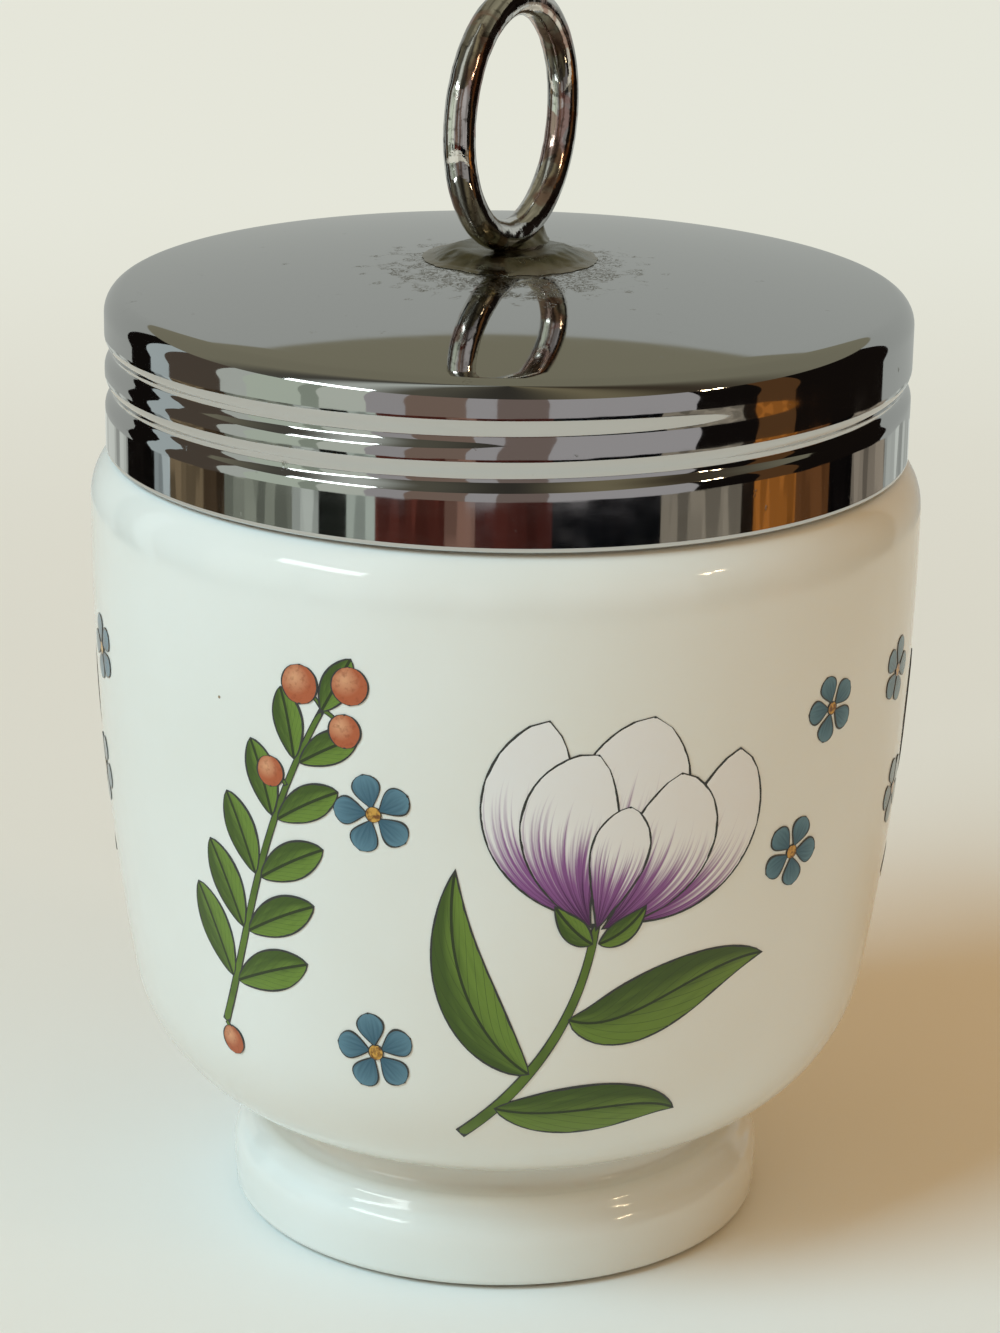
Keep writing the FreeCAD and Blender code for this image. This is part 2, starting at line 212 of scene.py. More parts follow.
def smooth(piece, degrees=40):
    select_only(piece)
    bpy.ops.object.shade_smooth_by_angle(angle=math.radians(degrees))


def points_of(piece):
    """The piece's points as rows of x, y, z in millimetres."""
    points = np.empty(len(piece.data.vertices) * 3)
    piece.data.vertices.foreach_get("co", points)
    return points.reshape(-1, 3) / MM


def move_points(piece, points):
    piece.data.vertices.foreach_set("co", (points * MM).ravel())
    piece.data.update()


def off_axis(points):
    """How far each point is from the axis."""
    return np.hypot(points[:, 0], points[:, 1])


def lumps(points, scale):
    """Smooth noise at each point, in lumps that are about 1 / scale millimetres long."""
    return np.array([noise.noise(Vector(point) * scale) for point in points])


def eased(share):
    """A share from 0 to 1 that starts and ends gently."""
    share = np.clip(share, 0, 1)
    return share * share * (3 - 2 * share)


def ridge(distance, reach):
    """Height of a rounded ridge: 1 at its crest, 0 from its reach on."""
    return 0.5 + 0.5 * np.cos(np.pi * np.clip(np.abs(distance) / reach, 0, 1))


def wind(points, low, start, end, pitch, reach, fade_in=9.0, fade_out=9.0):
    """How much of a thread's height stands at each point. Heights in millimetres, angles in degrees."""
    angle = np.degrees(np.arctan2(points[:, 1], points[:, 0])) % 360
    height = np.zeros(len(points))
    for turn in range(int(end / 360) + 2):
        along = angle + 360 * turn - start
        starts, stops = along + fade_in, end - start + fade_out - along
        ends = eased(np.minimum(starts / (2 * fade_in), stops / (2 * fade_out)))
        height = np.maximum(height, ends * ridge(points[:, 2] - low - pitch * along / 360, reach))
    return height


def scaled_radially(points, change):
    """The points moved out from the axis by change."""
    radius = off_axis(points)
    moved = points.copy()
    moved[:, :2] *= ((radius + change) / np.maximum(radius, 1e-6))[:, None]
    return moved


def belly_radius(height, size):
    """Outside radius of the cup's body at a height, below the shoulder."""
    if height >= BELLY_TOP:
        return size.body_radius
    if height >= BOWL_TOP:
        return size.body_radius - BELLY_CURVE + math.sqrt(BELLY_CURVE ** 2 - (BELLY_TOP - height) ** 2)
    return BOWL_CENTRE[0] + math.sqrt(BOWL_CURVE ** 2 - (BOWL_CENTRE[1] - height) ** 2)


# The cup's section, in millimetres from the axis and above the floor
BELLY_TOP = 55.0
BELLY_CURVE = 215.0
BOWL_TOP = 20.4
BOWL_CENTRE = (15.177, 22.605)
BOWL_CURVE = 13.7
SHOULDER_LOW = 57.2
NECK_ROOT = 61.21
INNER_CORNER = 61.41
NECK_RIM = 0.9
WAIST = (17.8, 9.157)
FOOT_TOP = (17.8, 7.0)
FOOT_WIDEST = 3.7
FOOT_EDGE = (20.65, 0.5)
REST_OUTSIDE = 18.34
# The foot's side above its widest place: how far along it, in millimetres, and how far it faces upwards,
# in degrees. A faint ridge runs round it, so a lamp shows in it twice.
FOOT_SIDE = ((0.0, 0), (0.6, 10), (1.05, 23), (1.45, 30), (1.8, 37), (2.05, 37), (2.5, 28.5), (2.95, 28.5),
             (3.3, 42), (3.8, 68), (4.2, 88))
FOOT_STEP = 0.1
FLOOR = 12.1
RECESS_TOP = 8.7
CUP_STEPS = 384
# The moulded thread: the height that its turns count from, and its first and last angle
NECK_THREAD = (62.67, 60.0, 780.0)
NECK_THREAD_REACH = 1.0
NECK_LOW = 61.5
# Waves in the wall: how many a millimetre, how deep in millimetres, and from where to where they stand
WAVE_SCALE = 0.035
WAVE_DEPTH = 0.07
WAVE_RADIUS = 5.0
WAVE_HEIGHTS = (1.0, 60.0)


def cup_section(size):
    body, inside = size.body_radius, size.body_radius - size.wall
    neck, neck_inside = size.neck_radius, size.neck_radius - size.neck_wall
    rest_inside = REST_OUTSIDE - size.rest_width
    recess_corner = (rest_inside - 0.9, RECESS_TOP)
    under_curve = ((FOOT_EDGE[0] - REST_OUTSIDE) ** 2 + FOOT_EDGE[1] ** 2) / (2 * FOOT_EDGE[1])
    rim_low = size.cup_height - NECK_RIM
    inner_bowl = BOWL_CURVE - size.wall
    shoulder = (body - 4.5, SHOULDER_LOW)
    inner_shoulder = (inside - 5.0, SHOULDER_LOW)
    neck_root = (neck, NECK_ROOT)
    inner_corner = (neck_inside, INNER_CORNER)
    belly_centre = (body - BELLY_CURVE, BELLY_TOP)
    under = size.foot_radius - FOOT_EDGE[0]
    lower_curve = (under ** 2 + (FOOT_WIDEST - FOOT_EDGE[1]) ** 2) / (2 * under)
    lean = (BELLY_TOP - BOWL_TOP) / BELLY_CURVE
    reach = math.sqrt(1 - lean * lean)
    section = [Vector((0.0, RECESS_TOP))]
    run(section,
        (recess_corner, 8),
        ((rest_inside, 0.0), 8),
        ((REST_OUTSIDE, 0.0), 3),
        (FOOT_EDGE, 6, (REST_OUTSIDE, under_curve)),
        ((size.foot_radius, FOOT_WIDEST), 10, (size.foot_radius - lower_curve, FOOT_WIDEST)))
    reaches, tilts = zip(*FOOT_SIDE)
    for number in range(int(reaches[-1] / FOOT_STEP)):
        tilt = math.radians(float(np.interp((number + 0.5) * FOOT_STEP, reaches, tilts)))
        section.append(section[-1] + Vector((-math.sin(tilt), math.cos(tilt))) * FOOT_STEP)
    run(section,
        (FOOT_TOP, 3),
        (WAIST, 3),
        ((belly_radius(BOWL_TOP, size), BOWL_TOP), 18, BOWL_CENTRE),
        ((body, BELLY_TOP), 14, belly_centre),
        ((body, SHOULDER_LOW), 2),
        (neck_root, 12, shoulder),
        ((neck, rim_low), 44),
        ((neck - NECK_RIM, size.cup_height), 6, (neck - NECK_RIM, rim_low)),
        ((neck_inside + NECK_RIM, size.cup_height), 3),
        ((neck_inside, rim_low), 6, (neck_inside + NECK_RIM, rim_low)),
        (inner_corner, 5),
        ((inside, SHOULDER_LOW), 8, inner_shoulder),
        ((inside, BELLY_TOP), 1))
    inner_top = (BOWL_CENTRE[0] + inner_bowl * reach, BOWL_CENTRE[1] - inner_bowl * lean)
    run(section,
        (inner_top, 10, belly_centre),
        ((BOWL_CENTRE[0], FLOOR), 10, BOWL_CENTRE),
        ((0.0, FLOOR), 6))
    for corner, reach in ((FOOT_TOP, 0.8), (WAIST, 0.9), (FOOT_EDGE, 0.45), (recess_corner, 1.4),
                          (inner_corner, 1.3)):
        section = rounded(section, corner, reach)
    return rounded(section, neck_root, 0.5, 4)


def make_cup(size):
    """The porcelain: foot ring, bowl, belly, shoulder and neck, with the moulded thread."""
    cup = lathe("porcelain_cup", cup_section(size), CUP_STEPS)
    points = points_of(cup)
    radius, height = off_axis(points), points[:, 2]
    thread = wind(points, *NECK_THREAD, size.pitch, NECK_THREAD_REACH)
    thread *= (radius > size.neck_radius - 0.01) * (height > NECK_LOW)
    # Hand finishing leaves the wall a little out of round, in slow waves
    waves = lumps(points, WAVE_SCALE) * WAVE_DEPTH
    waves *= (radius > WAVE_RADIUS) * (height > WAVE_HEIGHTS[0]) * (height < WAVE_HEIGHTS[1])
    move_points(cup, scaled_radially(points, thread * size.cup_ridge - np.abs(waves)))
    smooth(cup)
    glazed, bare = glazed_porcelain(), bare_porcelain()
    cup.data.materials.append(glazed)
    cup.data.materials.append(bare)
    for face in cup.data.polygons:
        if face.center.z < 0.02 * MM:
            face.material_index = 1
    return cup


# The lid's section, in millimetres from the axis and above the floor
LID_RIM = 60.99
SKIRT_TOP = 71.23
LID_CORNER = 1.8
SEAT = 6.9
RIVET_HOLE = 1.3
DOME_CENTRE = -104.68
LID_STEPS = 448
# The rolled thread, as the moulded one above, and the degrees over which it runs out
SKIRT_THREAD = (63.97, 36.0, 667.0)
RUN_OUT = 42.0


def lid_section(size):
    outside = size.skirt_radius
    inside = outside - size.sheet
    centre = (outside - LID_CORNER, SKIRT_TOP)
    lip = size.sheet / 2
    arm = Vector((centre[0], SKIRT_TOP - DOME_CENTRE))
    inner_curve = size.dome_curve - size.sheet
    inner_edge = arm.normalized() * inner_curve + Vector((0, DOME_CENTRE))
    outer_edge = arm.normalized() * size.dome_curve + Vector((0, DOME_CENTRE))
    seat = DOME_CENTRE + math.sqrt(size.dome_curve ** 2 - SEAT ** 2)
    inner_seat = DOME_CENTRE + math.sqrt(inner_curve ** 2 - SEAT ** 2)
    section = [Vector((outside - lip, LID_RIM))]
    run(section,
        ((inside, LID_RIM + lip), 3, (outside - lip, LID_RIM + lip)),
        ((inside, SKIRT_TOP), 56),
        (inner_edge, 6, centre),
        ((SEAT, inner_seat), 14, (0, DOME_CENTRE)),
        ((RIVET_HOLE, inner_seat), 2),
        ((RIVET_HOLE, seat), 1),
        ((SEAT, seat), 2),
        (outer_edge, 20, (0, DOME_CENTRE)),
        ((outside, SKIRT_TOP), 10, centre),
        ((outside, LID_RIM + lip), 56),
        ((outside - lip, LID_RIM), 3, (outside - lip, LID_RIM + lip)))
    return section


def make_lid(size):
    """The pressed sheet: dome, shoulder edge and skirt, with the thread rolled into it."""
    lid = lathe("pressed_lid", lid_section(size), LID_STEPS)
    points = points_of(lid)
    radius = off_axis(points)
    skirt = (radius > size.skirt_radius - 2 * size.sheet) * (points[:, 2] < SKIRT_TOP + 0.3)
    outer = radius > size.skirt_radius - size.sheet / 2
    # The roller lifts off slowly, so the groove runs out over a quarter turn under the dome's edge
    narrow, wide = (wind(points, *SKIRT_THREAD, size.pitch, reach, fade_out=RUN_OUT)
                    for reach in (size.groove_reach, size.groove_reach + 0.15))
    depth = np.where(outer, narrow ** 1.4, wide ** 1.4)
    move_points(lid, scaled_radially(points, -size.groove * depth * skirt))
    smooth(lid, 50)
    lid.data.materials.append(bright_plate())
    lid.data.materials.append(dull_plate())
    middle, level = Vector((0, 0, DOME_CENTRE * MM)), Vector((1, 1, 0))
    for face in lid.data.polygons:
        on_dome = face.center.z > (SKIRT_TOP + 0.5) * MM
        outwards = face.center - middle if on_dome else face.center * level
        if face.normal.dot(outwards) < 0:
            face.material_index = 1
    return lid


# Heights and forms of what stands on the lid's middle, in millimetres
RING_SINK = 0.4
SEAT_HEIGHT = 75.19
PAD_TOP = 76.09
PAD_RIM = 0.05
PAD_CROWN = (-0.4, 62.9)
PAD_FLAT = 4.1
PAD_UNEVEN = (0.55, 0.07)
SUNK_HEAD = 0.6
UNDER_SHEET = SEAT_HEIGHT - 0.4
BRAZE_HALF_WIDTH = 1.9
BRAZE_HALF_LENGTH = 3.5
BRAZE_MIDDLE = 1.5


def make_pad(size):
    """The thin pad: a flattened, slightly uneven disc with a soft edge."""
    edge = size.pad_radius
    section = [Vector((RIVET_HOLE, SEAT_HEIGHT))]
    run(section,
        ((edge - PAD_RIM, SEAT_HEIGHT), 6),
        ((edge, SEAT_HEIGHT + PAD_RIM), 3, (edge - PAD_RIM, SEAT_HEIGHT + PAD_RIM)),
        ((edge - 0.8, SEAT_HEIGHT + 0.2), 6),
        ((PAD_FLAT, PAD_TOP - 0.02), 10, PAD_CROWN),
        ((2.05, PAD_TOP), 4),
        ((RIVET_HOLE, PAD_TOP - SUNK_HEAD), 2),
        ((RIVET_HOLE, SEAT_HEIGHT), 1))
    pad = lathe("ring_pad_disc", section, 192)
    points = points_of(pad)
    radius = off_axis(points)
    uneven = np.array([noise.fractal(Vector((p[0], p[1], 0)) * 0.32, 0.8, 2.1, 3) for p in points])
    share = np.clip((radius - 3) / (edge - 3), 0, 1)
    points = scaled_radially(points, -PAD_UNEVEN[0] * np.abs(uneven) * share)
    top = points[:, 2] > SEAT_HEIGHT + 0.2
    points[:, 2] -= PAD_UNEVEN[1] * np.abs(uneven) * top * (radius > 2.1)
    move_points(pad, points)
    smooth(pad, 60)
    pad.data.materials.append(tarnished_plate())
    return pad


def make_rivet():
    """The rivet: its sunk head is flush under the ring, its low round head is inside the lid."""
    section = [Vector((0.0, UNDER_SHEET - 0.7))]
    run(section,
        ((2.4, UNDER_SHEET - 0.08), 12, (0.0, UNDER_SHEET + 3.76)),
        ((2.36, UNDER_SHEET), 2),
        ((1.25, UNDER_SHEET), 2),
        ((1.25, PAD_TOP - SUNK_HEAD), 3),
        ((2.0, PAD_TOP), 3),
        ((0.0, PAD_TOP), 4))
    rivet = lathe("lid_rivet_head", section, 96)
    smooth(rivet)
    rivet.data.materials.append(satin_plate())
    return rivet


def make_ring(size):
    """The wire ring, upright over the pad, a little uneven as bent and brazed wire is."""
    centre = (RING_LOW + RING_HIGH) / 2 - Vector((0, 0, RING_SINK * MM))
    deselect_all()
    bpy.ops.mesh.primitive_torus_add(
        align="WORLD", location=centre, rotation=(0, math.pi / 2, 0),
        major_segments=224, minor_segments=56,
        major_radius=size.ring_radius * MM, minor_radius=size.wire_radius * MM)
    ring = name_piece("lifting_ring_wire")
    bpy.ops.object.transform_apply(location=True, rotation=True, scale=True)
    points = points_of(ring)
    middle = np.array(centre) / MM
    spokes = points - middle
    spokes[:, 0] = 0
    spokes /= np.linalg.norm(spokes, axis=1)[:, None]
    core = middle + spokes * size.ring_radius
    away = (points - core) / size.wire_radius
    dents = lumps(points, 0.5) * 0.8 + lumps(points, 1.4) * 0.35
    move_points(ring, core + away * (size.wire_radius - 0.05 * np.abs(dents) - 0.005)[:, None])
    smooth(ring, 180)
    ring.data.materials.append(worn_wire())
    return ring


def make_braze(size):
    """The fillet of braze: a low mound on the pad that climbs the wire on both sides of its foot."""
    deselect_all()
    bpy.ops.mesh.primitive_uv_sphere_add(segments=128, ring_count=64, radius=MM, location=(0, 0, 0))
    braze = name_piece("braze_fillet")
    points = points_of(braze)
    upper = points[:, 2] >= 0
    flat = np.maximum(off_axis(points), 1e-9)
    # Rings of the sphere spread evenly over the footprint, so that the slope has points enough
    spread = np.arccos(np.clip(np.abs(points[:, 2]), 0, 1)) / (math.pi / 2)
    across = points[:, 0] / flat * spread * BRAZE_HALF_WIDTH
    along = points[:, 1] / flat * spread * BRAZE_HALF_LENGTH + BRAZE_MIDDLE
    wire_centre = (RING_LOW.z + RING_HIGH.z) / 2 / MM - RING_SINK
    wire = wire_centre - np.sqrt(size.ring_radius ** 2 - np.clip(np.abs(along), 0, 6) ** 2) - PAD_TOP
    # The braze was fed in from one side, so the fillet is low in front and climbs the wire behind
    climb = np.clip((along + 1.6) / 2.4, 0, 1)
    uneven = lumps(np.stack([across, along, 0 * along], axis=1), 0.9)
    web = (wire - 0.15) * np.exp(-np.abs(across / 1.1) ** 2.2) * eased((1 - spread) / 0.22) * climb
    mound = (0.16 + 0.3 * climb) * np.clip(1 - spread ** 2, 0, 1) * (1 + 0.35 * uneven)
    rise = np.maximum(web, mound) + 0.3 * np.minimum(web, mound) - 0.03
    height = PAD_TOP + np.where(upper, rise, -0.12)
    move_points(braze, np.stack([across * (1 + 0.08 * uneven), along, height], axis=1))
    smooth(braze, 70)
    braze.data.materials.append(braze_metal())
    return braze


# Printed design: every petal, leaf, stem and berry is a thin closed shell that lies on the glaze

def bezier(points, share):
    """A place on the curve that these points control, and its direction."""
    points = [Vector(p) for p in points]
    while len(points) > 2:
        points = [a.lerp(b, share) for a, b in zip(points, points[1:])]
    return points[0].lerp(points[1], share), (points[1] - points[0]).normalized()


def outline_width(form, share):
    """Half the width of a patch along its length, 0 to 1."""
    if form == "round":
        return 2 * math.sqrt(max(share * (1 - share), 0.0))
    if form == "stem":
        return 1.0 - 0.35 * share
    peak, fullness = {"leaf": (0.85, 0.85), "petal": (1.6, 0.62), "oval": (1.0, 0.7)}[form]
    return max(math.sin(math.pi * share ** peak), 0.0) ** fullness


class Placing:
    """Where a motif stands: its middle's angle and height, and its lean."""

    def __init__(self, degrees, height=0.0, lean=0.0):
        self.angle = math.radians(degrees)
        self.height = height
        self.turn = Matrix.Rotation(math.radians(lean), 2)

    def on_cup(self, place, lift, size):
        """A drawn place, put on the cup's wall."""
        x, y = self.turn @ place
        height = self.height + y
        radius = belly_radius(height, size) + lift
        angle = self.angle + x / size.body_radius
        return radius * math.cos(angle), radius * math.sin(angle), height


def patch(placing, curve, width, form, layer, material, size, rows=26, columns=12):
    """One printed shape: a grid drawn along a curve, laid on the cup and given its thickness."""
    deselect_all()
    bpy.ops.mesh.primitive_grid_add(x_subdivisions=columns, y_subdivisions=rows, size=1, location=(0, 0, 0))
    piece = bpy.context.object
    drawn = points_of(piece) * MM + 0.5
    border, places, halves = [], [], []
    for x, y, _ in drawn:
        middle, way = bezier(curve, y)
        half = width * outline_width(form, y)
        aside = Vector((way.y, -way.x)) * (x * 2 - 1) * half
        places.append(middle + aside)
        halves.append(abs(x * 2 - 1) * half)
        if x < 0.001 or x > 0.999 or (form == "stem" and (y < 0.001 or y > 0.999)):
            border.append(middle + aside)
    flat, edge = np.array(places), np.array(border)
    distance = np.sqrt(((flat[:, None, :] - edge[None, :, :]) ** 2).sum(2)).min(1)
    for name, values in (("edge", distance), ("mid", np.array(halves))):
        piece.data.attributes.new(name, "FLOAT", "POINT").data.foreach_set("value", values)
    lift = size.print_lift + 0.006 * layer
    move_points(piece, np.array([placing.on_cup(place, lift, size) for place in places]))
    edit_all()
    bpy.ops.mesh.remove_doubles(threshold=2e-6)
    bpy.ops.object.mode_set(mode="OBJECT")
    outwards = piece.data.vertices[0].co * Vector((1, 1, 0))
    if piece.data.polygons[len(piece.data.polygons) // 2].normal.dot(outwards) < 0:
        piece.data.flip_normals()
    thick = piece.modifiers.new("thickness", "SOLIDIFY")
    thick.thickness = (lift + 0.04) * MM
    thick.offset = -1
    bpy.ops.object.modifier_apply(modifier=thick.name)
    piece.data.materials.append(material)
    return piece


def join(name, pieces):
    deselect_all()
    for piece in pieces:
        piece.select_set(True)
    bpy.context.view_layer.objects.active = pieces[0]
    bpy.ops.object.join()
    piece = name_piece(name)
    smooth(piece, 60)
    return piece


# Where the drawing's middle stands, and how far round the cup its copies are, as they are or mirrored
FRONT = 296.0
COPIES = ((118.0, True), (238.0, False))


def all_round(name, pieces):
    """Join the pieces of a drawing, with a copy of them at each of its other places."""
    first = join(name, pieces)
    whole = [first]
    for degrees, mirrored in COPIES:
        select_only(first)
        bpy.ops.object.duplicate()
        copy = bpy.context.object
        points = points_of(copy)
        radius, angle = off_axis(points), np.arctan2(points[:, 1], points[:, 0])
        if mirrored:
            angle = 2 * math.radians(FRONT) - angle
            copy.data.flip_normals()
        angle += math.radians(degrees)
        points[:, 0], points[:, 1] = radius * np.cos(angle), radius * np.sin(angle)
        move_points(copy, points)
        whole.append(copy)
    return join(name, whole)


# Petals of a bloom seen from the side: curve, half width and layer, from back to front
BLOOM = (
    (((0.2, 0.6), (0.4, 8), (0.9, 16.6)), 4.3, 0),
    (((-0.6, 0.8), (-8.6, 4.5), (-6.6, 15.4)), 3.5, 1),
    (((0.7, 0.8), (9.4, 4.0), (8.4, 14.6)), 3.4, 2),
    (((-0.3, 0.2), (-5.6, 5.5), (-2.6, 13.4)), 3.6, 3),
    (((0.4, 0.2), (6.0, 5.0), (3.9, 12.6)), 3.5, 4),
    (((0.0, 0.0), (0.6, 5.0), (0.5, 9.8)), 2.3, 5),
)


def make_petals(size):
    petal = fired_enamel("Fired petal enamel", 0.17, petal_paint)
    placing = Placing(FRONT + 13, 33.0, -10)
    return all_round("print_petals", [patch(placing, curve, width, "petal", layer + 2, petal, size)
                                      for curve, width, layer in BLOOM])


LEAVES = (
    (((5.4, 26.0), (10.0, 24.0), (15.5, 30.0), (22.0, 29.0)), 2.7, "leaf", 1),
    (((2.6, 21.5), (-2.0, 24.5), (-4.4, 31.0), (-3.2, 38.0)), 2.3, "leaf", 1),
    (((-0.2, 18.6), (5.0, 17.2), (11.5, 19.6), (15.4, 17.2)), 2.2, "leaf", 1),
    (((7.0, 32.0), (5.4, 33.0), (4.0, 35.2)), 1.0, "leaf", 8),
    (((7.4, 32.0), (9.6, 32.6), (11.0, 34.8)), 1.0, "leaf", 8),
)
SPRIG = ((-24.0, 22.0), (-20.0, 30.0), (-19.0, 38.0), (-13.0, 49.0))
SPRIG_PAIRS = (0.16, 0.34, 0.52, 0.7, 0.86)
STEMS = (
    (((-3.0, 16.0), (3.0, 21.0), (6.4, 26.0), (7.2, 33.6)), 0.5),
    (SPRIG, 0.38),
)
BERRIES = (((-14.8, 50.6), 1.5), ((-11.3, 47.6), 1.3), ((-10.9, 51.0), 1.45), ((-17.4, 43.6), 1.2),
           ((-23.4, 20.6), 1.2))
SMALL_FLOWERS = (((-9.2, 41.6), 1.0), ((23.8, 36.6), 0.9), ((-9.6, 22.6), 1.05), ((27.0, 47.0), 0.85))


def make_leaves(size):
    leaf = fired_enamel("Fired leaf enamel", 0.15, leaf_paint)
    placing = Placing(FRONT)
    pieces = [patch(placing, curve, width, form, layer, leaf, size) for curve, width, form, layer in LEAVES]
    for number, share in enumerate(SPRIG_PAIRS):
        root, way = bezier(SPRIG, share)
        reach = 7.6 - 3.2 * share
        for turn in (-1, 1):
            out = Matrix.Rotation(math.radians(turn * (52 - 12 * share)), 2) @ way
            start = root + out * 0.3
            bend = start + out * reach * 0.55 + way * 0.9
            curve = (start, bend, start + out * reach + way * 0.8)
            width, layer = 1.75 - 0.55 * share, 2 + number % 2
            pieces.append(patch(placing, curve, width, "oval", layer, leaf, size, 18, 10))
    tip, way = bezier(SPRIG, 1.0)
    curve = (tip - way * 0.2, tip + way * 2.4, tip + way * 4.6)
    pieces.append(patch(placing, curve, 1.2, "oval", 2, leaf, size, 18, 10))
    return all_round("print_leaves", pieces)


def make_stems(size):
    stem = fired_enamel("Fired stem enamel", 0.09, stem_paint)
    placing = Placing(FRONT)
    pieces = [patch(placing, curve, width, "stem", 0, stem, size, 40, 6) for curve, width in STEMS]
    for place, radius in BERRIES:
        berry = Vector(place)
        near = min((bezier(SPRIG, part / 40)[0] for part in range(41)), key=lambda at: (at - berry).length)
        curve = (near, near.lerp(berry, 0.5) + Vector((0.3, 0.2)), berry)
        pieces.append(patch(placing, curve, 0.2, "stem", 0, stem, size, 10, 4))
    return all_round("print_stems", pieces)


def upright(middle, radius):
    """The curve of a round shape: from its foot to its top."""
    return middle - Vector((0, radius)), middle, middle + Vector((0, radius))


def make_berries(size):
    berry = fired_enamel("Fired berry enamel", 0.13, berry_paint)
    placing = Placing(FRONT)
    return all_round("print_berries", [patch(placing, upright(Vector(place), radius), radius, "round", 5,
                                             berry, size, 16, 12) for place, radius in BERRIES])


def make_small_flowers(size):
    blue = fired_enamel("Fired blue enamel", 0.12, blossom_paint)
    heart = fired_enamel("Fired ochre enamel", 0.1, heart_paint)
    placing = Placing(FRONT)
    petals, hearts = [], []
    for place, scale in SMALL_FLOWERS:
        middle = Vector(place)
        for number in range(5):
            way = Matrix.Rotation(math.radians(72 * number + 14 * middle.x), 2) @ Vector((0, scale))
            curve = (middle + way * 0.4, middle + way * 1.7, middle + way * 3.1)
            petals.append(patch(placing, curve, 1.12 * scale, "petal", 2 + number % 2, blue, size, 14, 10))
        radius = 0.62 * scale
        hearts.append(patch(placing, upright(middle, radius), radius, "round", 6, heart, size, 10, 8))
    return all_round("print_small_flowers", petals), all_round("print_flower_hearts", hearts)


# Materials

def node(tree, kind, links=(), **settings):
    """Add a node with its settings, and with a value or a link for each socket, by name or in their order."""
    made = tree.nodes.new("ShaderNode" + kind)
    for name, value in settings.items():
        setattr(made, name, value)
    for socket, value in links.items() if isinstance(links, dict) else enumerate(links):
        if isinstance(value, bpy.types.Node):
            value = value.outputs[0]
        elif isinstance(value, tuple) and isinstance(value[0], bpy.types.Node):
            value = value[0].outputs[value[1]]
        if isinstance(value, bpy.types.NodeSocket):
            tree.links.new(value, made.inputs[socket])
        else:
            made.inputs[socket].default_value = value
    return made


def new_material(name):
    """An empty material, with what adds a node to it and its Object coordinates."""
    material = bpy.data.materials.new(name)
    material.use_nodes = True
    material.node_tree.nodes.clear()
    add = partial(node, material.node_tree)
    return material, add, (add("TexCoord"), "Object")


def finished(material, add, colour, rough, relief=None, **more):
    """The material, with its colour, its roughness, its relief (height, strength, millimetres) and more."""
    sockets = {"Base Color": colour, "Roughness": rough, **more}
    if relief:
        height, strength, depth = relief
        sockets["Normal"] = add("Bump", {"Height": height, "Strength": strength, "Distance": depth * MM})
    add("OutputMaterial", {"Surface": add("BsdfPrincipled", sockets)})
    return material


def mottled(add, pattern, low, high, first, second, most=1.0):
    """The first colour, turning into the second where a pattern rises from low to high."""
    share = add("MapRange", [pattern, low, high, 0.0, most])
    return add("MixRGB", [share, first, second])


def per_mm(size_mm):
    """Texture scale for a pattern whose features measure this many millimetres."""
    return 1 / (size_mm * MM)


def colours():
    return bpy.context.scene.coddler_colours


def glazed_porcelain():
    # White glazed porcelain, slip cast and dipped: the glaze is clear and glossy, pools a little where
    # it ran, and a few iron specks of a quarter millimetre show under it.
    material, add, place = new_material("Glazed white porcelain")
    pools = add("TexNoise", {"Vector": place, "Scale": per_mm(22), "Detail": 2.0})
    tint = mottled(add, pools, 0.3, 0.7, colours().glaze, linear("#eeebe2"))
    cells = add("TexVoronoi", {"Vector": place, "Scale": per_mm(7)})
    small = add("Math", [cells, 0.017], operation="LESS_THAN")
    few = add("Math", [add("SeparateColor", [(cells, "Color")]), 0.74], operation="GREATER_THAN")
    speck = add("Math", [small, few], operation="MULTIPLY")
    specked = add("MixRGB", [speck, tint, linear("#9a8469")])
    ripple = add("TexNoise", {"Vector": place, "Scale": per_mm(6), "Detail": 1.0})
    sheen = add("MapRange", [pools, 0.3, 0.7, 0.06, 0.11])
    return finished(material, add, specked, sheen, (ripple, 0.12, 0.08), IOR=1.52)


def bare_porcelain():
    # Unglazed biscuit on the resting ring, ground flat: chalky, with grey dirt worn into it.
    material, add, place = new_material("Bare ground porcelain")
    grit = add("TexNoise", {"Vector": place, "Scale": per_mm(0.5), "Detail": 4.0})
    stain = mottled(add, grit, 0.45, 0.75, colours().bare, linear("#a59c8c"))
    return finished(material, add, stain, 0.75, (grit, 0.4, 0.05))


# Middle of the worn place round the pad, in millimetres, with -Y towards the camera
WORN_CENTRE = (0.0, -3.0, 0.0)


